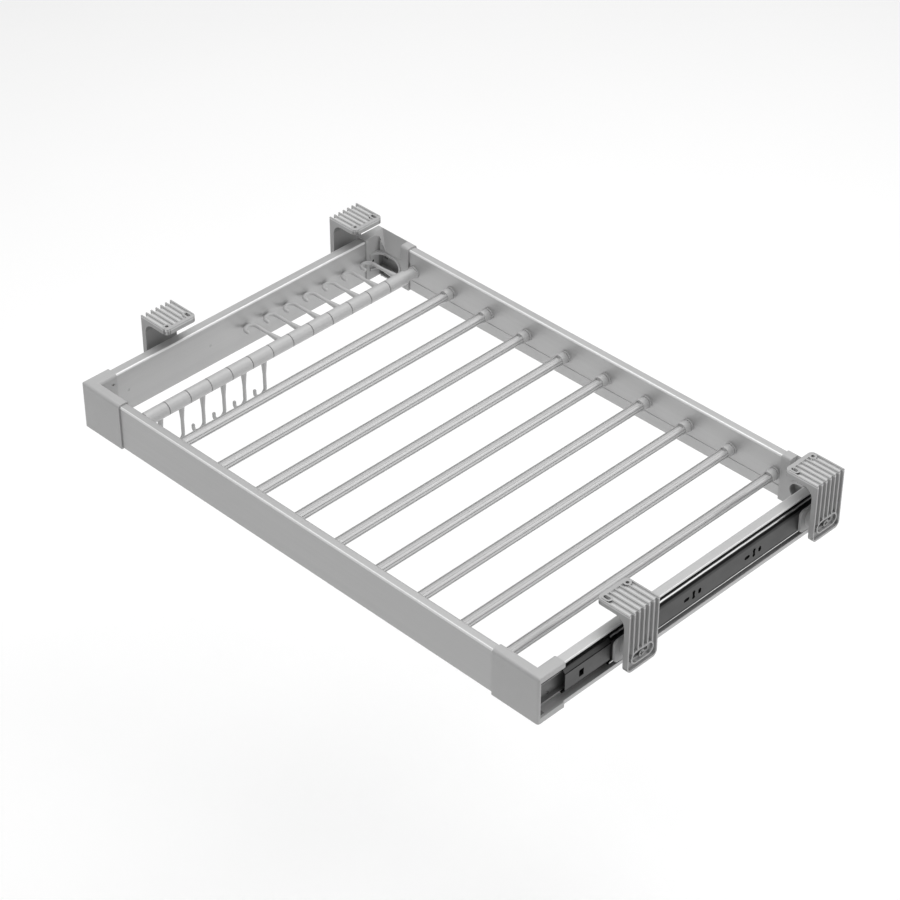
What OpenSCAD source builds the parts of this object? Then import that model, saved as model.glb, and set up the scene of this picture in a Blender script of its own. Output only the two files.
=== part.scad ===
// Pull-out trouser rack for a wardrobe.
// An aluminium frame with nine trouser bars and a rod of folding hooks rides on
// two ball-bearing slides, carried by four ribbed brackets at the wardrobe's sides.
// Drawn pulled out a little way. Millimetres, +Z up, front of the rack towards -Y.
// The origin lies midway between the four brackets, level with their top faces.

/* [Overall] */
// clear width between the wardrobe's sides, over the brackets
clear_w = 764; // [740:1:800]
// depth of the rack's frame, front to back
frame_d = 470; // [466:1:476]
// height of the frame's rails
rail_h = 57; // [56:0.5:59]

/* [Rails] */
// thickness of the front and back rails
rail_t = 11.5; // [11.5:0.5:13]
// thickness of the side rails, which hold the slides
side_t = 13; // [12.8:0.1:13.2]
// radius of the rails' rounded top edges
edge_r = 2.4; // [1:0.1:2.8]
// how far the corner pieces stand proud of the rails' faces
proud = 1.8; // [1.7:0.1:1.8]

/* [Bars] */
// distance between neighbouring bars
bar_pitch = 63.55; // [62:0.05:63.8]
// radius of a trouser bar
bar_r = 6.3; // [6.2:0.1:6.5]
// height of the bars' centre lines above the rails' lower edge
bar_z = 28.3; // [27.5:0.1:29]

/* [Hooks] */
// radius of the rod that the hooks turn on
rod_r = 4.0; // [3.5:0.1:4.5]
// length of rod that each hook takes up
hook_pitch = 32; // [31:0.1:32]
// radius of a hook's sleeve
sleeve_r = 8.6; // [8:0.1:8.8]
// radius of the hook's wire-like stem
stem_r = 2.2; // [1.8:0.1:2.4]
// distance from the rod to the centre of the hook's curl
hook_reach = 48.2; // [40:0.1:48.2]
// how many hooks hang down, counted from the front; the rest are folded out
hooks_down = 6; // [0:1:13]

/* [Brackets] */
// width of a bracket along the slide
bracket_w = 46; // [44:1:46]
// depth of a bracket's top flange
flange_d = 46; // [40:1:46]
// number of ribs on a bracket
ribs = 7; // [5:1:9]

/* [Slides] */
// length of the slides
slide_len = 350; // [340:1:350]

/* [Output] */
// which part to draw

/* [Hidden] */
$fn = 48;
hx = clear_w/2;                 // outer face of the brackets
fx = hx - 23.5;                 // outer face of the side rails
fy = frame_d/2;                 // outer face of the front and back rails
xi = fx - side_t;               // inner face of the side rails
yi = fy - rail_t;               // inner face of the front and back rails
br_top = 88.4;                  // top of the brackets above the rails' lower edge
br_yf = -104.5;                 // centre of the front brackets
br_yb = 196.3;                  // centre of the back brackets
oy = (br_yf + br_yb)/2;
leg_i = hx - 6.7;               // inner face of a bracket's leg
sx = fx + 1.1;                  // outer face of the slides
zc = 28;                        // centre height of the slides
out_y = -126.5;                 // front end of the cabinet members
mid_y = -195.5;                 // front end of the middle members
inn_y = -231.5;                 // front end of the drawer members
ch_lo = 5.2;                    // slide channel in the side rails
ch_hi = 55.2;
web_o = fx - 11.2;              // face of the side rail's web in the channel
leg_x = fx - 64;                // where a corner's front leg ends
leg_y = fy - 36.8;              // where a corner's side leg ends
seat = 0.5;                     // depth of the seat for the bar sockets
sock_l = 11.5;                  // length of a bar socket
pock_z = 22;                    // centre height of the recess in the corner pieces
pock_r = 10;                    // half the recess's height
pock_d = 5.5;                   // its depth
screw_z = 25.9;                 // height of the screws that hold the slides to the brackets
rod_x = -4.5*bar_pitch - 0.4;
hook_off = 8.1;                 // stem's place along its sleeve
hook_side = 1.3;                // stem's distance from the plane of the rod
curl_r = 8.2;                   // radius of the hook's curl
alu = [0.70, 0.70, 0.71];
alu_bar = [0.78, 0.78, 0.77];
plastic = [0.72, 0.72, 0.72];
pale = [0.76, 0.76, 0.75];
strip_c = [0.82, 0.81, 0.79];
dark_steel = [0.36, 0.36, 0.37];
bright_steel = [0.62, 0.62, 0.63];
black_c = [0.08, 0.08, 0.08];
screw_c = [0.45, 0.45, 0.46];

// from the frame's own measures to the origin between the brackets
module place() translate([0, -oy, -br_top]) children();
module flip_x() mirror([1, 0, 0]) children();
module flip_y() mirror([0, 1, 0]) children();

// box from one corner to the other
module box(a, b) translate(a) cube(b - a);
// cylinder along X, Y or Z
module cyl_x(p, r, l) translate(p) rotate([0, 90, 0]) cylinder(r = r, h = l);
module cyl_y(p, r, l) translate(p) rotate([-90, 0, 0]) cylinder(r = r, h = l);
module cyl_z(p, r, l) translate(p) cylinder(r = r, h = l);
// round-ended slot through a face that looks along X: c centre, len along Y, w wide
module slot_x(c, len, w, l) {
  translate([0, -(len - w)/2, 0]) cyl_x(c, w/2, l);
  translate([0, (len - w)/2, 0]) cyl_x(c, w/2, l);
  box([c[0], c[1] - (len - w)/2, c[2] - w/2], [c[0] + l, c[1] + (len - w)/2, c[2] + w/2]);
}
// cutters that round a top edge along X or Y: s is the way out of the face at y or x, z the top
module round_x(x0, x1, y, z, s, r) difference() {
  box([x0, s > 0 ? y - r : y - 1, z - r], [x1, s > 0 ? y + 1 : y + r, z + 1]);
  cyl_x([x0 - 1, y - s*r, z - r], r, x1 - x0 + 2);
}
module round_y(y0, y1, x, z, s, r) difference() {
  box([s > 0 ? x - r : x - 1, y0, z - r], [s > 0 ? x + 1 : x + r, y1, z + 1]);
  cyl_y([x - s*r, y0 - 1, z - r], r, y1 - y0 + 2);
}
// big block that ends in a plane through p whose outward normal is n
module half(p, n) translate(p) rotate([0, acos(n[2]/norm(n)), atan2(n[1], n[0])])
  translate([-60, -60, -120]) cube(120);

// ---------------------------------------------------------------- rails
// hollow rail along X with two rounded top edges, front of the frame
module cross_rail(inset) {
  L = leg_x + inset;
  r = edge_r;
  difference() {
    union() {
      box([-L, -fy, 0], [L, -yi, rail_h - r]);
      box([-L, -fy + r, 0], [L, -yi - r, rail_h]);
      cyl_x([-L, -fy + r, rail_h - r], r, 2*L);
      cyl_x([-L, -yi - r, rail_h - r], r, 2*L);
    }
    box([-L - 1, -fy + 1.5, 1.5], [L + 1, -yi - 2.2, rail_h - 2.6]);
    // long shallow seat for the bar sockets
    box([-L - 1, -yi - seat, 14.5], [L + 1, -yi + 1, 39]);
  }
}
module front_rail() color(alu) cross_rail(29);
module back_rail() color(alu) flip_y() cross_rail(11);

// side rail: a channel open to the outside, which the slide lies in
module side_rail() {
  yf = -fy + 11;
  yb = leg_y + 3.5;
  r = edge_r;
  ro = 1.4;
  difference() {
    union() {
      box([xi, yf, 0], [fx, yb, rail_h - r]);
      box([xi + r, yf, 0], [fx - ro, yb, rail_h]);
      cyl_y([xi + r, yf, rail_h - r], r, yb - yf);
      cyl_y([fx - ro, yf, rail_h - ro], ro, yb - yf);
    }
    box([web_o, yf - 1, ch_lo], [fx + 1, yb + 1, ch_hi]);
    box([xi + 1.6, yf - 1, 1.3], [fx - 1.3, yb + 1, ch_lo - 1.3]);
    // holes for the screws of the front corner piece and of the drawer member
    cyl_x([xi - 1, -yi + proud + 8.6, pock_z], 1.5, 4);
    cyl_x([xi - 1, -204, 47], 1.5, 4);
    cyl_x([xi + 0.4, inn_y + 20, zc - 9], 2.2, 4);
    for (k = [0:2]) cyl_x([xi - 1, inn_y + 50 + 125*k, zc], 2, 4);
  }
}
module right_side_rail() color(alu) side_rail();
module left_side_rail() color(alu) flip_x() side_rail();

// ---------------------------------------------------------------- corners
// corner piece of the front right; at the front it closes off the channel, at the back it is open
module corner(back) {
  r = 3;
  rn = back ? 3.5 : 1.2;
  rt = 4.2;
  zt = rail_h + 2;
  xo = fx + proud;
  yo = fy + proud;
  xn = xi - proud;
  yn = yi - proud;
  ye = back ? leg_y + 3.6 : fy - 10.9;      // where the side rail ends
  ds = back ? 3.6 : 1.3;                    // depth of the recess beside the side rail
  pd = back ? 7.5 : pock_d;                 // depth of the recess in the cross leg
  sx = 26;                                  // where the back recess's round end is, from the leg's end
  zs = 38;                                  // where the back corner's sloping face starts
  difference() {
    union() {
      box([leg_x, -yo, -2], [xo - r, -yn, rail_h + 2]);
      box([xn, -yo + r, -2], [xo, -leg_y, rail_h + 2]);
      cyl_z([xo - r, -yo + r, -2], r, rail_h + 4);
      // rounded inner corner
      difference() {
        box([xn - rn, -yn - 0.5, -2], [xn + 0.5, -yn + rn, rail_h + 2]);
        cyl_z([xn - rn, -yn + rn, -3], rn, rail_h + 6);
      }
    }
    // side wall set back behind the rail's end
    if (back) box([xn - 1, -yn - 1, -3], [xn + 2.6, -ye - 0.5, zt + 1]);
    // sockets for the ends of the two rails
    box([leg_x - 1, -fy - 0.1, -0.1], [leg_x + (back ? 11.1 : 29.1), -yi + 0.1, rail_h + 0.1]);
    box([xi - 0.1, -ye, -0.1], [fx + 0.1, -leg_y + 1, rail_h + 0.1]);
    // the channel, open to the outside
    box([web_o, back ? -ye : -fy + 1.4, ch_lo], [xo + 1, -leg_y + 1, rail_h - 4.8]);
    if (back) box([xn + 4.7, -yo - 1, ch_lo], [xo + 1, -ye + 1, rail_h - 4.8]);
    // rounded top edges
    round_x(leg_x - 1, xo + 1, -yo, zt, -1, rt);
    round_x(leg_x - 1, xn, -yn, zt, 1, rt);
    round_y(-yn, -leg_y + 1, xn, zt, -1, rt);
    round_y(-yo - 1, -leg_y + 1, xo, zt, 1, 2);
    intersection() {
      round_x(xn - 0.5, xn + rt, -yn, zt, 1, rt);
      round_y(-yn - rt, -yn + 0.5, xn, zt, -1, rt);
    }
    // sloping inner faces that thin the back corners towards the top
    if (back) intersection() {
      half([leg_x, -yn, zs], [0, -zt + zs, -yo + yn + 2.2]);
      half([xn, -ye - 0.5, zt], [1, 0.27, -0.72]);
      box([leg_x + 13, -yo + 2, 30], [xo - 2, -leg_y - 1, zt + 3]);
    }
    if (back) {
      corner_recess(xn, yn, ds, pd, leg_x + sx, 0);
    } else {
      // recess that runs round the inner corner
      box([leg_x + 23, -yn - 1.3, pock_z - pock_r], [xn, -yn + 5, pock_z + pock_r]);
      cyl_y([leg_x + 23, -yn - 1.3, pock_z], pock_r, 6);
      box([leg_x + 29.8, -yn - pd, pock_z - pock_r], [xn + 0.1, -yn, pock_z + pock_r]);
      box([xn - 5, -yn - pd, pock_z - pock_r], [xn + ds, -yn + 7, pock_z + pock_r]);
      cyl_x([xn - 1, -yn + 7, pock_z], pock_r, 1 + ds);
      cyl_y([xn - 2.8, -yn - pd - 1.6, pock_z], 2.3, 3);
      cyl_y([xn - 2.8, -yn - pd - 5, pock_z], 1.5, 5);
      cyl_x([xn - 1, -yn + 8.6, pock_z], 2.3, 3);
      cyl_x([xn - 1, -yn + 8.6, pock_z], 1.5, 5);
      cyl_x([xn - 1, -204, 47], 1.6, 4);
    }
  }
  // raised rim round the back recess, carried round the inner corner
  if (back) difference() {
    union() {
      box([leg_x + sx, -yn - 0.5, pock_z - 13], [xn + 2.6, -yn + 1.2, pock_z + 13]);
      cyl_y([leg_x + sx, -yn - 0.5, pock_z], 13, 1.7);
      box([xn + 1.4, -yn - 0.5, pock_z - 13], [xn + 3, -yn + 15.5, pock_z + 13]);
      difference() {
        box([xn + 1.4 - 12, -yn + 1, pock_z - 13], [xn + 3, -yn + 1.2 + 12, pock_z + 13]);
        cyl_z([xn + 1.4 - 12, -yn + 1.2 + 12, pock_z - 14], 12, 28);
      }
    }
    corner_recess(xn, yn, ds, pd, leg_x + sx, 14);
  }
}
// recess of a back corner with its screw holes, and the hollow below it
module corner_recess(xn, yn, ds, pd, xr, out) {
  cyl_y([xr, -yn - pd, pock_z], pock_r, pd + 3 + out);
  box([xr, -yn - pd, pock_z - pock_r], [xn - 3, -yn + 3 + out, pock_z + pock_r]);
  box([xn - 4, -yn - pd, pock_z - pock_r], [xn + ds, -yn + 8.5, pock_z + pock_r]);
  cyl_x([xn - 14, -yn + 8.5, pock_z], pock_r, 14 + ds);
  box([xr + 2, -yn - pd, 0], [xn + 2.6, -yn + 15.6, pock_z - pock_r - 1.4]);
  for (d = [-1.3, 1.3]) cyl_y([xn - 2.8 + d, -yn - pd - 3.4, pock_z], 1.9, 5);
  box([xn - 4.1, -yn - pd - 3.4, pock_z - 1.9], [xn - 1.5, -yn - pd + 1, pock_z + 1.9]);
  cyl_y([xn - 2.8, -yn - 14.2, pock_z], 1.3, 8);
  cyl_x([xn - 1, -yn + 8.6, pock_z], 1.9, 7);
}
module front_right_corner() color(plastic) corner(false);
module front_left_corner() color(plastic) flip_x() corner(false);
module back_right_corner() color(plastic) flip_y() corner(true);
module back_left_corner() color(plastic) flip_x() flip_y() corner(true);

// the sunk screws of one corner: two at the front, one at the back
module corner_pair(back) {
  yn = yi - proud;
  xn = xi - proud;
  xs = xn + 0.55;
  ys = -yn - (back ? 9.9 : pock_d + 0.6);
  rh = back ? 1.8 : 2.2;
  difference() {
    union() {
      cyl_y([xn - 2.8, ys - 0.9, pock_z], rh, 0.9);
      cyl_y([xn - 2.8, ys - 4, pock_z], 1.2, 3.5);
    }
    box([xn - 4.2, ys - 0.4, pock_z - 0.3], [xn - 1.4, ys + 1, pock_z + 0.3]);
    box([xn - 3.1, ys - 0.4, pock_z - 1.4], [xn - 2.5, ys + 1, pock_z + 1.4]);
  }
  if (!back) difference() {
    union() {
      cyl_x([xs, -yn + 8.6, pock_z], 2.2, 0.9);
      cyl_x([xs, -yn + 8.6, pock_z], 1.4, 2.4);
    }
    box([xs - 1, -yn + 7.2, pock_z - 0.3], [xs + 0.4, -yn + 10, pock_z + 0.3]);
    box([xs - 1, -yn + 8.3, pock_z - 1.4], [xs + 0.4, -yn + 8.9, pock_z + 1.4]);
  }
}
module corner_screws() color(screw_c) {
  corner_pair(false);
  flip_x() corner_pair(false);
  flip_y() corner_pair(true);
  flip_x() flip_y() corner_pair(true);
}

// ---------------------------------------------------------------- bars
function bar_x(i) = (i - 4.5)*bar_pitch;      // i = 1 .. 9

// hollow round bar with a deep groove along its top and fine grooves down its sides
module trouser_bar(i) color(alu_bar) translate([bar_x(i), 0, bar_z]) {
  L = yi - 2.5;
  difference() {
    cyl_y([0, -L, 0], bar_r, 2*L);
    cyl_y([0, -L - 1, -1.7], 2.5, 2*L + 2);
    box([-3.5, -L - 1, bar_r - 4.1], [3.5, L + 1, bar_r + 1]);
    for (s = [-1, 1]) box([s*(bar_r - 0.6) - 0.75, -L - 1, 2.3], [s*(bar_r - 0.6) + 0.75, L + 1, 3.1]);
    for (s = [-1, 1]) box([s*bar_r - 0.75, -L - 1, -1.2], [s*bar_r + 0.75, L + 1, -0.3]);
  }
}
// soft strips that lie in the bars' grooves
module bar_grip_strips() color(strip_c) for (i = [1:9]) translate([bar_x(i), 0, bar_z]) {
  L = yi - sock_l - 0.1;
  difference() {
    box([-3.4, -L, bar_r - 4], [3.4, L, bar_r - 3.1]);
    for (s = [-1, 1]) box([s*1.5 - 0.2, -L - 1, bar_r - 3.4], [s*1.5 + 0.2, L + 1, bar_r]);
  }
}

// socket on the front rail's inner face
module bar_socket(i) translate([bar_x(i), 0, bar_z]) {
  y0 = -yi - seat;
  difference() {
    union() {
      cyl_y([0, y0, 0], 8, 2.1);
      cyl_y([0, y0 + 2, 0], 6.6, 1);
      cyl_y([0, y0 + 2.8, 0], 7.4, sock_l - 2.3);
    }
    cyl_y([0, y0 + 2.9, 0], bar_r + 0.1, sock_l);
    // notch at the mouth
    box([3, y0 + sock_l - 1.6, -8], [9, y0 + sock_l + 2, -1.5]);
  }
  // key that fills the bar's groove
  box([-3.4, y0 + 2.9, bar_r - 4], [3.4, y0 + sock_l + 0.5, bar_r + 0.3]);
}
module front_bar_sockets() color(pale) for (i = [1:9]) bar_socket(i);
module back_bar_sockets() color(pale) flip_y() for (i = [1:9]) bar_socket(i);

// ---------------------------------------------------------------- hooks
module hook_rod() color(bright_steel)
  cyl_y([rod_x, -yi + 2.5, bar_z], rod_r, 2*(yi - 2.5));

module rod_collar() {
  y0 = -yi - seat;
  difference() {
    union() {
      cyl_y([rod_x, y0, bar_z], 8.4, 2.1);
      cyl_y([rod_x, y0 + 2, bar_z], 6.6, yi + seat - 2 - 6.5*hook_pitch - 0.6);
    }
    cyl_y([rod_x, y0 + 2.9, bar_z], rod_r + 0.05, 30);
  }
}
module hook_rod_collars() color(pale) { rod_collar(); flip_y() rod_collar(); }

// one hook: a sleeve, a flared stem and a curl that turns towards the front
module hook_shape() {
  r = stem_r;
  difference() {
    union() {
      cyl_y([0, -hook_pitch/2 + 0.7, 0], sleeve_r, hook_pitch - 1.4);
      translate([-hook_side, hook_off, -hook_reach]) cylinder(r = r, h = hook_reach - sleeve_r + 1.5);
      // flare where the stem leaves the sleeve
      translate([-hook_side, hook_off, -29]) cylinder(r1 = r, r2 = 4, h = 30.4 - sleeve_r);
      // curl
      translate([-hook_side, hook_off - curl_r, -hook_reach]) rotate([0, -90, 0]) rotate([0, 0, 90])
        rotate_extrude(angle = 180) translate([curl_r, 0]) circle(r = r);
      translate([-hook_side, hook_off - 2*curl_r, -hook_reach]) cylinder(r = r, h = 2.9);
      translate([-hook_side, hook_off - 2*curl_r, -hook_reach + 2.9]) sphere(r = r);
      // short necks at the sleeve's ends
      cyl_y([0, -hook_pitch/2 + 0.3, 0], sleeve_r - 0.5, hook_pitch - 0.6);
    }
    cyl_y([0, -hook_pitch, 0], rod_r + 0.08, 2*hook_pitch);
  }
}
module hook(k) color(pale) translate([rod_x, (k - 7)*hook_pitch, bar_z])
  rotate([0, k > hooks_down ? 90 : 0, 0]) hook_shape();

// ---------------------------------------------------------------- slides
// a member drawn as a band of constant thickness along a bent line
module band(a, b, y0, l) {
  // a, b: outer and inner lines as [depth, half height] points
  pts = concat(a, [for (i = [len(a) - 1:-1:0]) [a[i][0], -a[i][1]]]);
  qts = concat(b, [for (i = [len(b) - 1:-1:0]) [b[i][0], -b[i][1]]]);
  translate([0, y0, 0]) rotate([90, 0, 0]) translate([0, 0, -l]) difference() {
    linear_extrude(l) polygon([for (p = pts) [sx - p[0], zc + p[1]]]);
    translate([0, 0, -1]) linear_extrude(l + 2) polygon([for (p = qts) [sx - p[0], zc + p[1]]]);
  }
}
// cabinet member, screwed to the brackets through its web
module outer_member() {
  difference() {
    band([[10.6, 20.5], [4.6, 20.5], [3, 18.2], [3, 15.3], [0, 11.25]],
         [[12, 19.5], [5.1, 19.5], [4, 17.9], [4, 14.9], [1, 10.8]], out_y, slide_len);
    for (g = [-9.9, 88.7]) {
      slot_x([sx - 2, g, zc - 0.4], 8.6, 4.4, 4);
      cyl_x([sx - 2, g + 11.4, zc + 3.2], 2.3, 4);
      cyl_x([sx - 2, g + 11.4, zc - 3.4], 2.3, 4);
      box([sx - 2, g + 9.8, zc - 3.4], [sx + 2, g + 13, zc + 3.2]);
      cyl_x([sx - 2, g + 21, zc + 0.8], 2.4, 4);
      cyl_x([sx - 2, g + 21, zc - 1.2], 2.4, 4);
    }
    for (y = [br_yf, br_yb]) cyl_x([sx - 2, y, screw_z], 2.2, 4);
  }
}
module middle_member() {
  difference() {
    band([[10.8, 16.6], [5.0, 16.6], [4.5, 14.8], [1.5, 10.8]],
         [[12, 15.6], [5.8, 15.6], [5.4, 14.3], [2.5, 10.4]], mid_y, slide_len - 10);
    box([sx - 4, mid_y + 21, zc - 5.5], [sx, mid_y + 28, zc + 3.5]);
    for (g = [-9.9, 88.7]) box([sx - 4, g - 6, zc - 5.5], [sx, g + 27, zc + 4.5]);
  }
}
module inner_member() {
  l = slide_len;
  difference() {
    band([[12.2, 13.2], [6.4, 13.2]], [[11.2, 12.2], [5, 12.2]], inn_y, l);
    cyl_x([web_o - 2, inn_y + 20, zc - 9], 2.2, 6);
    for (k = [0:2]) cyl_x([web_o - 2, inn_y + 50 + 125*k, zc], 2.1, 6);
  }
}
// two strips with the balls that run between the cabinet and middle members
module ball_cage() {
  for (s = [-1, 1]) translate([sx - 7.6, 0, zc + s*18.05]) {
    box([-1.2, -133, -0.5], [1.2, 55, 0.5]);
    for (k = [0:5]) translate([0, -126 + 35*k, 0]) sphere(r = 1.1, $fn = 24);
  }
}
module right_outer_member() color(dark_steel) outer_member();
module left_outer_member() color(dark_steel) flip_x() outer_member();
module right_middle_member() color(dark_steel) middle_member();
module left_middle_member() color(dark_steel) flip_x() middle_member();
module right_inner_member() color(dark_steel) inner_member();
module left_inner_member() color(dark_steel) flip_x() inner_member();
module right_ball_cage() color(black_c) ball_cage();
module left_ball_cage() color(black_c) flip_x() ball_cage();

// screws that hold a drawer member to its side rail
module slide_screws() color(screw_c) for (m = [0, 1]) mirror([m, 0, 0]) for (k = [0:2])
  translate([0, inn_y + 50 + 125*k, zc]) difference() {
    union() {
      cyl_x([sx - 11.15, 0, 0], 3.6, 1.7);
      cyl_x([xi + 0.2, 0, 0], 1.9, sx - 11 - xi - 0.2);
    }
    box([sx - 10.4, -2, -0.4], [sx - 9, 2, 0.4]);
    box([sx - 10.4, -0.4, -2], [sx - 9, 0.4, 2]);
  }

// ---------------------------------------------------------------- brackets
// ribbed L-shaped bracket, centred on y = 0, for the right side
module bracket_shape() {
  w = bracket_w/2;
  zt = br_top;
  zl = 10.5;
  rl = 7;
  rf = 6;
  xin = hx - flange_d;
  fl = 7.5;
  deep = 3.4;
  low = 2.4;
  rib = 1.8;
  rim = 2.8;
  ri = 4.6;
  ring_z = 26.8;
  step = (bracket_w - rib)/(ribs - 1);
  difference() {
    union() {
      // leg
      box([leg_i, -w, zl + rl], [hx, w, zt]);
      box([leg_i, -w + rl, zl], [hx, w - rl, zl + rl]);
      for (s = [-1, 1]) cyl_x([leg_i, s*(w - rl), zl + rl], rl, hx - leg_i);
      // flange
      box([xin + rf, -w, zt - fl], [hx, w, zt]);
      box([xin, -w + rf, zt - fl], [xin + rf, w - rf, zt]);
      for (s = [-1, 1]) cyl_z([xin + rf, s*(w - rf), zt - fl], rf, fl);
      // inner fillet
      difference() {
        box([leg_i - 13, -w, zt - fl - 13], [leg_i + 0.5, w, zt - fl + 0.5]);
        cyl_y([leg_i - 13, -w - 1, zt - fl - 13], 13, 2*w + 2);
      }
    }
    // grooves between the ribs over the flange
    difference() {
      for (k = [0:ribs - 2]) {
        y0 = -w + rib + k*step;
        box([xin + 5, y0, zt - low], [hx + 1, y0 + step - rib, zt + 1]);
      }
      // rings round the two upper holes
      cyl_z([xin + 7.2, w - 6.5, zt - fl], 4.7, fl + 2);
      cyl_z([xin + 6.4, -w + 6.8, zt - fl], 4.5, fl + 2);
      cyl_z([xin + 10.8, -w + 6.8, zt - fl], 4.5, fl + 2);
      box([xin + 6.4, -w + 2.3, zt - fl], [xin + 10.8, -w + 11.3, zt + 2]);
    }
    // upper holes: a round one and a slot
    cyl_z([xin + 7.2, w - 6.5, zt - fl - 1], 2.1, fl + 2);
    for (d = [6.4, 10.8]) cyl_z([xin + d, -w + 6.8, zt - fl - 1], 2.1, fl + 2);
    box([xin + 6.4, -w + 4.7, zt - fl - 1], [xin + 10.8, -w + 8.9, zt + 1]);
    // sunk field down the leg, with the ribs and a ring left standing in it
    difference() {
      union() {
        box([hx - deep, -w + rib, zl + rim + ri], [hx + 1, w - rib, zt + 1]);
        box([hx - deep, -w + rib + ri, zl + rim], [hx + 1, w - rib - ri, zl + rim + ri + 1]);
        for (s = [-1, 1]) cyl_x([hx - deep, s*(w - rib - ri), zl + rim + ri], ri, deep + 1);
      }
      for (k = [1:ribs - 2]) box([hx - deep - 1, -w + k*step, ring_z], [hx + 2, -w + k*step + rib, zt + 2]);
      slot_x([hx - deep - 1, 0, ring_z], 35, 17, deep + 3);
    }
    // recess inside the ring and slot for the screw that holds the slide
    slot_x([hx - 3.2, 0, ring_z], 31.4, 13.4, 5);
    slot_x([leg_i - 1, 0, screw_z], 22, 4.6, 10);
  }
}
module right_front_bracket() color(plastic) translate([0, br_yf, 0]) bracket_shape();
module right_back_bracket() color(plastic) translate([0, br_yb, 0]) bracket_shape();
module left_front_bracket() color(plastic) translate([0, br_yf, 0]) rotate([0, 0, 180]) bracket_shape();
module left_back_bracket() color(plastic) translate([0, br_yb, 0]) rotate([0, 0, 180]) bracket_shape();

// spacer between the slide and a bracket's leg
module spacer_shape() {
  x0 = sx + 0.1;
  z0 = 26.75;
  difference() {
    union() {
      box([x0, -15, z0 - 14.75], [x0 + 3, 15, z0 + 14.75]);
      box([x0, -21, z0 - 8.75], [x0 + 3, 21, z0 + 8.75]);
      for (s = [-1, 1], t = [-1, 1]) cyl_x([x0, s*15, z0 + t*8.75], 6, 3);
      cyl_x([x0 + 3, 0, z0], 13.5, leg_i - x0 - 3.1);
    }
    cyl_x([x0 - 1, 0, screw_z], 2.15, 30);
  }
}
module right_front_spacer() color(pale) translate([0, br_yf, 0]) spacer_shape();
module right_back_spacer() color(pale) translate([0, br_yb, 0]) spacer_shape();
module left_front_spacer() color(pale) translate([0, br_yf, 0]) rotate([0, 0, 180]) spacer_shape();
module left_back_spacer() color(pale) translate([0, br_yb, 0]) rotate([0, 0, 180]) spacer_shape();

module bracket_screw() difference() {
  union() {
    cyl_x([hx - 3.15, 0, screw_z], 4.4, 2.1);
    cyl_x([sx - 0.8, 0, screw_z], 1.95, hx - 3 - sx + 0.8);
  }
  box([hx - 2.4, -2.8, screw_z - 0.55], [hx, 2.8, screw_z + 0.55]);
  box([hx - 2.4, -0.55, screw_z - 2.8], [hx, 0.55, screw_z + 2.8]);
}
module bracket_screws() color(screw_c) for (y = [br_yf, br_yb]) {
  translate([0, y, 0]) bracket_screw();
  translate([0, y, 0]) rotate([0, 0, 180]) bracket_screw();
}

// ---------------------------------------------------------------- the parts
place() front_rail();
place() back_rail();
place() left_side_rail();
place() right_side_rail();
place() front_left_corner();
place() front_right_corner();
place() back_left_corner();
place() back_right_corner();
place() corner_screws();
place() trouser_bar(1);  // trouser_bar_1
place() trouser_bar(2);  // trouser_bar_2
place() trouser_bar(3);  // trouser_bar_3
place() trouser_bar(4);  // trouser_bar_4
place() trouser_bar(5);  // trouser_bar_5
place() trouser_bar(6);  // trouser_bar_6
place() trouser_bar(7);  // trouser_bar_7
place() trouser_bar(8);  // trouser_bar_8
place() trouser_bar(9);  // trouser_bar_9
place() bar_grip_strips();
place() front_bar_sockets();
place() back_bar_sockets();
place() hook_rod();
place() hook_rod_collars();
place() hook(1);  // hook_01
place() hook(2);  // hook_02
place() hook(3);  // hook_03
place() hook(4);  // hook_04
place() hook(5);  // hook_05
place() hook(6);  // hook_06
place() hook(7);  // hook_07
place() hook(8);  // hook_08
place() hook(9);  // hook_09
place() hook(10);  // hook_10
place() hook(11);  // hook_11
place() hook(12);  // hook_12
place() hook(13);  // hook_13
place() right_outer_member();
place() right_middle_member();
place() right_inner_member();
place() left_outer_member();
place() left_middle_member();
place() left_inner_member();
place() right_ball_cage();
place() left_ball_cage();
place() slide_screws();
place() right_front_bracket();
place() right_back_bracket();
place() left_front_bracket();
place() left_back_bracket();
place() right_front_spacer();
place() right_back_spacer();
place() left_front_spacer();
place() left_back_spacer();
place() bracket_screws();
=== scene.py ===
import math
import bpy
import bmesh
from mathutils import Vector, Matrix

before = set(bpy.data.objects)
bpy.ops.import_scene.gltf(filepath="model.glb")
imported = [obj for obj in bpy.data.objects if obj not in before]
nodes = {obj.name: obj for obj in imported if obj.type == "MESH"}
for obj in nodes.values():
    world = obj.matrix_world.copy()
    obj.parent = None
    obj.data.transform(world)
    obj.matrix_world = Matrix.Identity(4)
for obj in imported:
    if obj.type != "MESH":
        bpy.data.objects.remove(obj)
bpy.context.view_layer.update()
scene = bpy.context.scene

# the frame's own measures (mm) to the row frame (m)
OY, OZ = 45.9, 88.4
INNER_FRONT = -231.5


def row(x, y, z):
    return Vector((x / 1000, (y - OY) / 1000, (z - OZ) / 1000))


# ------------------------------------------------------------------ camera
cam_data = bpy.data.cameras.new("camera")
cam = bpy.data.objects.new("camera", cam_data)
scene.collection.objects.link(cam)
cam.location = (1.74686, -1.80099, 1.81561)
cam.rotation_euler = (math.radians(52.8445), 0.0, math.radians(44.8812))
cam_data.sensor_fit = "HORIZONTAL"
cam_data.sensor_width = 36.0
cam_data.lens = 110.42
cam_data.clip_start = 0.05
cam_data.clip_end = 50.0
cam_data.dof.use_dof = False
scene.camera = cam


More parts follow.
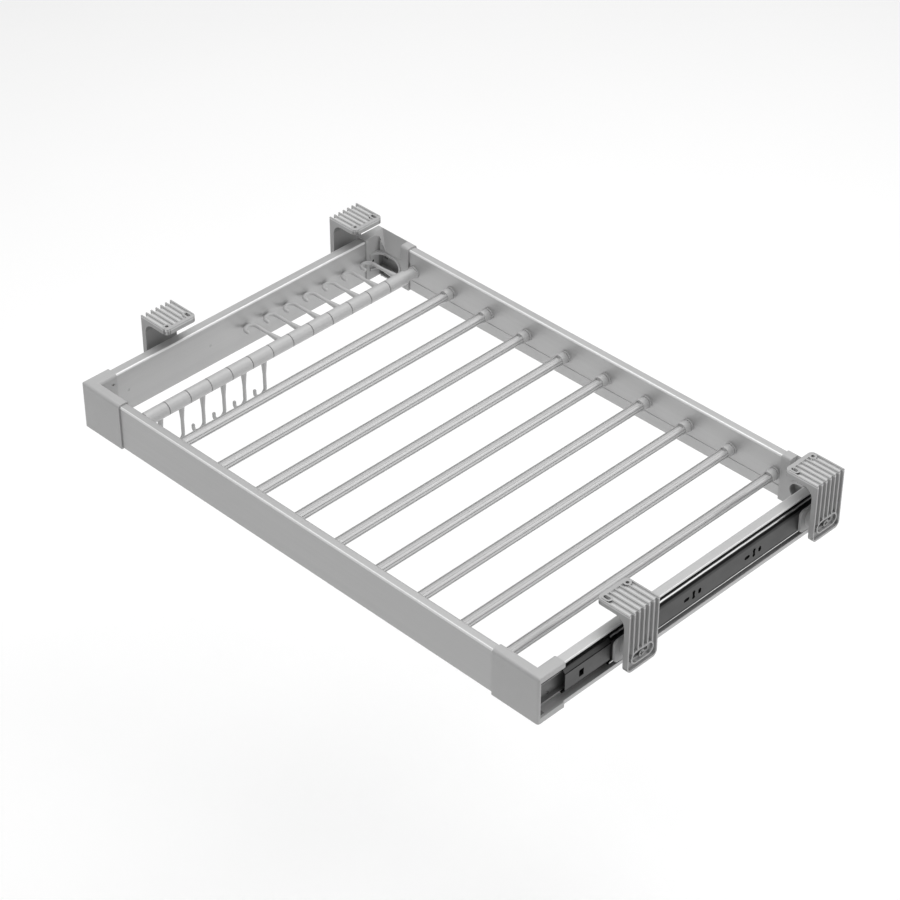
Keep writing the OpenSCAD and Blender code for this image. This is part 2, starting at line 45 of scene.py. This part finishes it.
# ------------------------------------------------------------------ materials
class Nodes:
    """Small helper that wires a material's nodes."""

    def __init__(self, name):
        self.mat = bpy.data.materials.new(name)
        self.mat.use_nodes = True
        self.nt = self.mat.node_tree
        self.nt.nodes.clear()
        self.out = self.nt.nodes.new("ShaderNodeOutputMaterial")
        self.bsdf = self.nt.nodes.new("ShaderNodeBsdfPrincipled")
        self.nt.links.new(self.bsdf.outputs["BSDF"], self.out.inputs["Surface"])
        self.coord = self.nt.nodes.new("ShaderNodeTexCoord")

    def link(self, a, b):
        self.nt.links.new(a, b)

    def mapped(self, scale, shift=(0, 0, 0)):
        m = self.nt.nodes.new("ShaderNodeMapping")
        m.inputs["Scale"].default_value = scale
        m.inputs["Location"].default_value = shift
        self.link(self.coord.outputs["Object"], m.inputs["Vector"])
        return m.outputs["Vector"]

    def noise(self, vec, scale=1.0, detail=3.0, rough=0.5):
        n = self.nt.nodes.new("ShaderNodeTexNoise")
        n.inputs["Scale"].default_value = scale
        n.inputs["Detail"].default_value = detail
        n.inputs["Roughness"].default_value = rough
        self.link(vec, n.inputs["Vector"])
        return n.outputs["Fac"]

    def voronoi(self, vec, scale=1.0):
        n = self.nt.nodes.new("ShaderNodeTexVoronoi")
        n.inputs["Scale"].default_value = scale
        self.link(vec, n.inputs["Vector"])
        return n.outputs["Distance"]

    def ramp(self, value, lo, hi, out_lo, out_hi):
        n = self.nt.nodes.new("ShaderNodeMapRange")
        n.inputs["From Min"].default_value = lo
        n.inputs["From Max"].default_value = hi
        n.inputs["To Min"].default_value = out_lo
        n.inputs["To Max"].default_value = out_hi
        self.link(value, n.inputs["Value"])
        return n.outputs["Result"]

    def math(self, op, a, b=None, c=None):
        n = self.nt.nodes.new("ShaderNodeMath")
        n.operation = op
        for i, v in enumerate((a, b, c)):
            if v is None:
                continue
            if isinstance(v, (int, float)):
                n.inputs[i].default_value = v
            else:
                self.link(v, n.inputs[i])
        return n.outputs[0]

    def mix(self, fac, a, b, mode="MIX"):
        n = self.nt.nodes.new("ShaderNodeMix")
        n.data_type = "RGBA"
        n.blend_type = mode
        if isinstance(fac, (int, float)):
            n.inputs["Factor"].default_value = fac
        else:
            self.link(fac, n.inputs["Factor"])
        for key, v in (("A", a), ("B", b)):
            sock = [s for s in n.inputs if s.name == key and s.type == "RGBA"][0]
            if isinstance(v, (tuple, list)):
                sock.default_value = (*v, 1.0) if len(v) == 3 else v
            else:
                self.link(v, sock)
        return [s for s in n.outputs if s.type == "RGBA"][0]

    def xyz(self):
        n = self.nt.nodes.new("ShaderNodeSeparateXYZ")
        self.link(self.coord.outputs["Object"], n.inputs[0])
        return n.outputs

    def bump(self, height, strength, distance, normal=None):
        n = self.nt.nodes.new("ShaderNodeBump")
        n.inputs["Strength"].default_value = strength
        n.inputs["Distance"].default_value = distance
        self.link(height, n.inputs["Height"])
        if normal is not None:
            self.link(normal, n.inputs["Normal"])
        return n.outputs["Normal"]


def shade(g, color=None, rough=None, normal=None, metallic=0.0, spec=0.5, coat=0.0, coat_rough=0.2):
    b = g.bsdf
    b.inputs["Coat Weight"].default_value = coat
    b.inputs["Coat Roughness"].default_value = coat_rough
    b.inputs["Metallic"].default_value = metallic
    b.inputs["Specular IOR Level"].default_value = spec
    if color is not None:
        if isinstance(color, tuple):
            b.inputs["Base Color"].default_value = (*color, 1.0)
        else:
            g.link(color, b.inputs["Base Color"])
    if rough is not None:
        if isinstance(rough, (int, float)):
            b.inputs["Roughness"].default_value = rough
        else:
            g.link(rough, b.inputs["Roughness"])
    if normal is not None:
        g.link(normal, b.inputs["Normal"])
    return g.mat


def grey(v, warm=0.0):
    return (v * (1 + warm), v, v * (1 - warm))


def anodised(name, base, axis, rough=0.42, metallic=0.75, streak=0.05, warm=0.0, coat=0.0, coat_rough=0.2, zones=()):
    """Satin anodised extrusion: fine die lines along the axis, soft clouding, small specks."""
    g = Nodes(name)
    fine = [900.0, 900.0, 900.0]
    fine[axis] = 5.0
    wide = [160.0, 160.0, 160.0]
    wide[axis] = 1.5
    lines = g.noise(g.mapped(tuple(fine)), 1.0, 4.0, 0.6)
    bands = g.noise(g.mapped(tuple(wide), (3.1, 1.7, 5.3)), 1.0, 2.0, 0.5)
    cloud = g.noise(g.mapped((9.0, 9.0, 9.0)), 1.0, 3.0, 0.55)
    grain = g.noise(g.mapped((5200.0, 5200.0, 5200.0)), 1.0, 2.0, 0.5)
    c1 = g.mix(g.ramp(lines, 0.3, 0.7, 0.0, 1.0), grey(base * (1 - streak), warm), grey(base * (1 + streak), warm))
    c2 = g.mix(g.ramp(bands, 0.35, 0.65, 0.0, 0.5), c1, grey(base * (1 - 1.2 * streak), warm))
    c3 = g.mix(g.ramp(cloud, 0.35, 0.7, 0.0, 0.35), c2, grey(base * (1 + 1.3 * streak), warm))
    r1 = g.ramp(lines, 0.25, 0.75, rough - 0.05, rough + 0.06)
    r2 = g.math("ADD", r1, g.ramp(cloud, 0.3, 0.7, -0.03, 0.03))
    # each zone multiplies the colour inside a box by k: painted highlight where k > 1, painted shade where k < 1
    for lo, hi, k in zones:
        c3 = g.mix(zone(g, lo, hi), c3, g.mix(1.0, c3, (k, k, k), "MULTIPLY"))
    h = g.math("ADD", g.math("MULTIPLY", lines, 0.7), g.math("MULTIPLY", grain, 0.3))
    return shade(g, c3, r2, g.bump(h, 0.10, 0.00012), metallic, 0.5, coat, coat_rough)


def zone(g, lo, hi, soft=0.15):
    """1 inside a box of the part's own mm (None = open), 0 outside; x counts the same on both sides."""
    x, y, z = g.xyz()
    axes = (g.math("MULTIPLY", g.math("ABSOLUTE", x), 1000.0),
            g.math("ADD", g.math("MULTIPLY", y, 1000.0), OY),
            g.math("ADD", g.math("MULTIPLY", z, 1000.0), OZ))
    m = None
    for v, a, b in zip(axes, lo, hi):
        for t, up in ((a, True), (b, False)):
            if t is None:
                continue
            e = g.ramp(v, t - soft, t + soft, 0.0 if up else 1.0, 1.0 if up else 0.0)
            m = e if m is None else g.math("MULTIPLY", m, e)
    return m


def plastic(name, base, rough=0.5, grain=2600.0, bump=0.12, warm=0.0, mottling=0.03, spec=0.4, sss=0.0, coat=0.0,
            coat_rough=0.2, zones=()):
    """Moulded plastic: fine eroded texture, faint flow marks, slightly uneven gloss."""
    g = Nodes(name)
    fine = g.noise(g.mapped((grain, grain, grain)), 1.0, 3.0, 0.6)
    cell = g.voronoi(g.mapped((grain * 0.55,) * 3), 1.0)
    flow = g.noise(g.mapped((22.0, 30.0, 26.0)), 1.0, 3.0, 0.6)
    dust = g.noise(g.mapped((240.0, 240.0, 240.0)), 1.0, 2.0, 0.5)
    c1 = g.mix(g.ramp(flow, 0.3, 0.7, 0.0, 1.0), grey(base * (1 - mottling), warm), grey(base * (1 + mottling), warm))
    c2 = g.mix(g.ramp(fine, 0.3, 0.7, 0.0, 0.25), c1, grey(base * 0.93, warm))
    r = g.math("ADD", g.ramp(dust, 0.3, 0.7, rough - 0.04, rough + 0.05), g.ramp(flow, 0.3, 0.7, -0.02, 0.03))
    h = g.math("ADD", g.math("MULTIPLY", fine, 0.6), g.math("MULTIPLY", cell, 0.4))
    # each zone multiplies the colour inside a box by k: painted highlight where k > 1, painted shade where k < 1
    for lo, hi, k in zones:
        c2 = g.mix(zone(g, lo, hi), c2, g.mix(1.0, c2, (k, k, k), "MULTIPLY"))
    m = shade(g, c2, r, g.bump(h, bump, 0.00010), 0.0, spec, coat, coat_rough)
    if sss:
        g.bsdf.inputs["Subsurface Weight"].default_value = sss
        g.bsdf.inputs["Subsurface Radius"].default_value = (0.002, 0.002, 0.002)
    return m


def steel(name, base, rough=0.32, axis=1, metallic=1.0, streak=0.06):
    """Zinc-plated rolled steel: short rolling marks, faint blotches, tiny pits."""
    g = Nodes(name)
    fine = [1400.0, 1400.0, 1400.0]
    fine[axis] = 30.0
    roll = g.noise(g.mapped(tuple(fine)), 1.0, 3.0, 0.6)
    blot = g.noise(g.mapped((55.0, 40.0, 70.0)), 1.0, 4.0, 0.6)
    pits = g.noise(g.mapped((3800.0, 3800.0, 3800.0)), 1.0, 2.0, 0.5)
    c1 = g.mix(g.ramp(roll, 0.3, 0.7, 0.0, 1.0), grey(base * (1 - streak)), grey(base * (1 + streak)))
    c2 = g.mix(g.ramp(blot, 0.35, 0.75, 0.0, 0.5), c1, grey(base * (1 - 1.6 * streak)))
    r = g.math("ADD", g.ramp(roll, 0.25, 0.75, rough - 0.05, rough + 0.06), g.ramp(blot, 0.3, 0.7, -0.04, 0.05))
    h = g.math("ADD", g.math("MULTIPLY", roll, 0.6), g.math("MULTIPLY", pits, 0.4))
    return shade(g, c2, r, g.bump(h, 0.10, 0.00010), metallic)


def slide_steel(name, bands, metallic=1.0, zones=()):
    """A slide member. Bands are (half height in mm, base value, roughness) from the middle outwards:
    dull zinc web; the darker and near-black bands are painted shade at the bends and gaps, the brighter bands are
    painted highlight and painted light, partly also the real polish of the raceways."""
    g = Nodes(name)
    x, y, z = g.xyz()
    d = g.math("MULTIPLY", g.math("ABSOLUTE", g.math("SUBTRACT", z, (28 - OZ) / 1000)), 1000.0)
    roll = g.noise(g.mapped((1400.0, 26.0, 1400.0)), 1.0, 3.0, 0.6)
    blot = g.noise(g.mapped((45.0, 28.0, 60.0)), 1.0, 4.0, 0.6)
    pits = g.noise(g.mapped((3600.0, 3600.0, 3600.0)), 1.0, 2.0, 0.5)
    wob = g.math("ADD", d, g.ramp(g.noise(g.mapped((60.0, 70.0, 60.0), (2.0, 5.0, 1.0)), 1.0, 2.0, 0.5), 0.3, 0.7, -0.12, 0.12))
    col = None
    rgh = None
    for h, v, r in bands:
        c = g.mix(g.ramp(roll, 0.3, 0.7, 0.0, 1.0), grey(v * 0.92), grey(v * 1.08))
        c = g.mix(g.ramp(blot, 0.35, 0.75, 0.0, 0.5), c, grey(v * 0.84))
        rr = g.math("ADD", g.ramp(roll, 0.3, 0.7, r - 0.03, r + 0.05), g.ramp(blot, 0.3, 0.7, -0.03, 0.04))
        if col is None:
            col, rgh = c, rr
        else:
            e = g.ramp(wob, h - 0.18, h + 0.18, 0.0, 1.0)
            col = g.mix(e, col, c)
            rgh = g.math("ADD", g.math("MULTIPLY", rgh, g.math("SUBTRACT", 1.0, e)), g.math("MULTIPLY", rr, e))
    # each zone multiplies the colour inside a box by k: painted shade where k < 1
    for lo, hi, k in zones:
        col = g.mix(zone(g, lo, hi), col, g.mix(1.0, col, (k, k, k), "MULTIPLY"))
    hgt = g.math("ADD", g.math("MULTIPLY", roll, 0.6), g.math("MULTIPLY", pits, 0.4))
    return shade(g, col, rgh, g.bump(hgt, 0.10, 0.00010), metallic)


M = {}
# the zones brighten the rounded top edges of the rails: painted highlights on the front rail's front-top edge, the
# back rail's front-top edge and the side rails' inner and outer top edges
M["rail_f"] = anodised("anodised_rail_front", 0.43, 0, 0.46, 0.55, coat=0.3, coat_rough=0.2,
                       zones=[((None, -235.3, 54.7), (None, -233.1, 57.3), 1.75)])
M["rail_b"] = anodised("anodised_rail_back", 0.49, 0, 0.46, 0.55, coat=0.3, coat_rough=0.2,
                       zones=[((None, 223.2, 54.7), (None, 225.4, 57.3), 1.6)])
M["rail_y"] = anodised("anodised_rail_side", 0.475, 1, 0.46, 0.55, coat=0.3, coat_rough=0.2,
                       zones=[((345.2, None, 54.7), (347.4, None, 57.3), 1.5), ((357.2, None, 55.6), (358.8, None, 57.3), 1.4)])
# the zone darkens each bar below its centre line (z 28.3): painted shade on the underside
M["bar"] = anodised("anodised_bar", 0.60, 1, 0.40, 0.45, 0.05, coat=0.05, coat_rough=0.3,
                    zones=[((None, None, None), (None, None, 28.3), 0.78)])
M["strip"] = plastic("soft_grip_strip", 0.53, 0.60, 2200.0, 0.20, 0.0, 0.03, 0.35, 0.05)
# the zones darken the inside of the slide channel of the front corners and the pocket in the back corners: painted
# shade
M["corner"] = plastic("corner_plastic", 0.42, 0.44, 2600.0, 0.14, coat=0.25, coat_rough=0.25,
                      zones=[((346.5, -232.6, 5.0), (357.2, 197.0, 52.5), 0.45),
                             ((310.0, 222.6, 0.5), (347.4, 231.0, 31.9), 0.62)])
# the zone lightens the groove floors on the top flange of the brackets: painted light
M["bracket"] = plastic("bracket_plastic", 0.40, 0.48, 2400.0, 0.16,
                       zones=[((None, None, 85.6), (None, None, 87.7), 1.5)])
M["hook"] = plastic("hook_plastic", 0.46, 0.38, 3000.0, 0.08, coat=0.4, coat_rough=0.22)
M["socket"] = plastic("socket_plastic", 0.50, 0.42, 3000.0, 0.08)
M["spacer"] = plastic("spacer_plastic", 0.46, 0.50, 2600.0, 0.12)
M["rod"] = steel("ground_rod_steel", 0.60, 0.25)
# outer member bands: 12.2 slightly darker and 13.4 near black are painted shade at the bend and in the gap under the
# lip, 17.1 is the bright raceway, partly real polish and partly painted highlight, 19.1 dark is painted shade under
# the channel top
M["outer"] = slide_steel("slide_outer_steel", [(0, 0.090, 0.42), (12.2, 0.070, 0.40), (13.4, 0.012, 0.35),
                                               (17.1, 0.72, 0.14), (19.1, 0.03, 0.35)])
# middle member bands: the near-black band at 10.5 and the darker band at 15.4 are painted shade
M["middle"] = slide_steel("slide_middle_steel", [(0, 0.102, 0.42), (10.5, 0.012, 0.40), (11.5, 0.075, 0.40),
                                                 (15.4, 0.05, 0.30)])
# inner member: the lighter band from 12.0 is painted light on the flange tops; the zone darkens the first 3 mm behind
# the front end: painted shade
M["inner"] = slide_steel("slide_inner_steel", [(0, 0.135, 0.42), (12.0, 0.20, 0.28)], 0.28,
                         zones=[((None, None, None), (None, INNER_FRONT + 3.0, None), 0.45)])
M["cage"] = plastic("cage_plastic", 0.03, 0.45, 2600.0, 0.10)
M["screw"] = steel("screw_steel", 0.42, 0.30, 2)
M["bolt"] = steel("bolt_steel", 0.27, 0.38, 2)

LOOK = {
    "front_rail": "rail_f", "back_rail": "rail_b", "left_side_rail": "rail_y", "right_side_rail": "rail_y",
    "corner_screws": "screw", "bar_grip_strips": "strip", "front_bar_sockets": "socket",
    "back_bar_sockets": "socket", "hook_rod": "rod", "hook_rod_collars": "socket",
    "slide_screws": "screw", "bracket_screws": "bolt",
}


def look_of(name):
    if name in LOOK:
        return LOOK[name]
    for key, mat in (("_corner", "corner"), ("trouser_bar", "bar"), ("outer_member", "outer"),
                     ("middle_member", "middle"), ("inner_member", "inner"), ("ball_cage", "cage"),
                     ("_bracket", "bracket"), ("_spacer", "spacer"), ("hook_", "hook")):
        if key in name:
            return mat
    raise RuntimeError("no look for " + name)


for name, obj in nodes.items():
    mat = M[look_of(name)]
    if not obj.material_slots:
        obj.data.materials.append(mat)
    for s in obj.material_slots:
        s.material = mat


# ------------------------------------------------------------------ edges
def soften(obj, width, segments=2, angle=35.0):
    """Rounds the sharp edges a little, so that they catch the light."""
    w = obj.modifiers.new("join_faces", "WELD")
    w.merge_threshold = 0.000004
    m = obj.modifiers.new("soft_edges", "BEVEL")
    m.width = width / 1000
    m.segments = segments
    m.limit_method = "ANGLE"
    m.angle_limit = math.radians(angle)
    m.use_clamp_overlap = True
    m.harden_normals = False


SOFT = {"_corner": (0.9, 3), "_bracket": (0.45, 2), "_spacer": (0.5, 2), "bar_sockets": (0.3, 2),
        "hook_rod_collars": (0.3, 2)}
for name, obj in nodes.items():
    for key, (width, seg) in SOFT.items():
        if key in name and name not in ("corner_screws", "bracket_screws"):
            soften(obj, width, seg)


# ------------------------------------------------------------------ floor and light
floor_mesh = bpy.data.meshes.new("floor")
z_floor = -0.62
floor_mesh.from_pydata([(-9, -9, z_floor), (9, -9, z_floor), (9, 9, z_floor), (-9, 9, z_floor)], [], [(0, 1, 2, 3)])
floor = bpy.data.objects.new("floor", floor_mesh)
scene.collection.objects.link(floor)
g = Nodes("floor_paper")
fl = g.noise(g.mapped((3.0, 3.0, 3.0)), 1.0, 2.0, 0.5)
floor_mesh.materials.append(shade(g, g.mix(fl, (0.93, 0.93, 0.93), (0.95, 0.95, 0.95)), 0.9, None, 0.0, 0.1))
g.bsdf.inputs["Emission Color"].default_value = (1.0, 1.0, 1.0, 1.0)
g.bsdf.inputs["Emission Strength"].default_value = 0.10

world = bpy.data.worlds.new("world")
scene.world = world
world.use_nodes = True
world.node_tree.nodes["Background"].inputs["Color"].default_value = (1, 1, 1, 1)
world.node_tree.nodes["Background"].inputs["Strength"].default_value = 0.45


def area(name, loc, target, size, power, size_y=None):
    d = bpy.data.lights.new(name, "AREA")
    d.shape = "RECTANGLE"
    d.size = size
    d.size_y = size_y or size
    d.energy = power
    o = bpy.data.objects.new(name, d)
    scene.collection.objects.link(o)
    o.location = loc
    o.rotation_euler = (Vector(target) - Vector(loc)).to_track_quat("-Z", "Y").to_euler()
    return o


area("top_light", (-0.2, 0.5, 2.8), (0, 0, -0.06), 3.4, 76)
area("right_light", (2.6, 0.9, 0.9), (0, 0, -0.06), 1.8, 10)
area("left_key", (-1.46, -1.53, 1.51), (0, 0, -0.06), 0.25, 4.5)
area("back_key", (1.53, 1.51, 1.46), (0, 0, -0.06), 0.45, 3.5)
scene.view_settings.view_transform = "Standard"
scene.view_settings.look = "None"
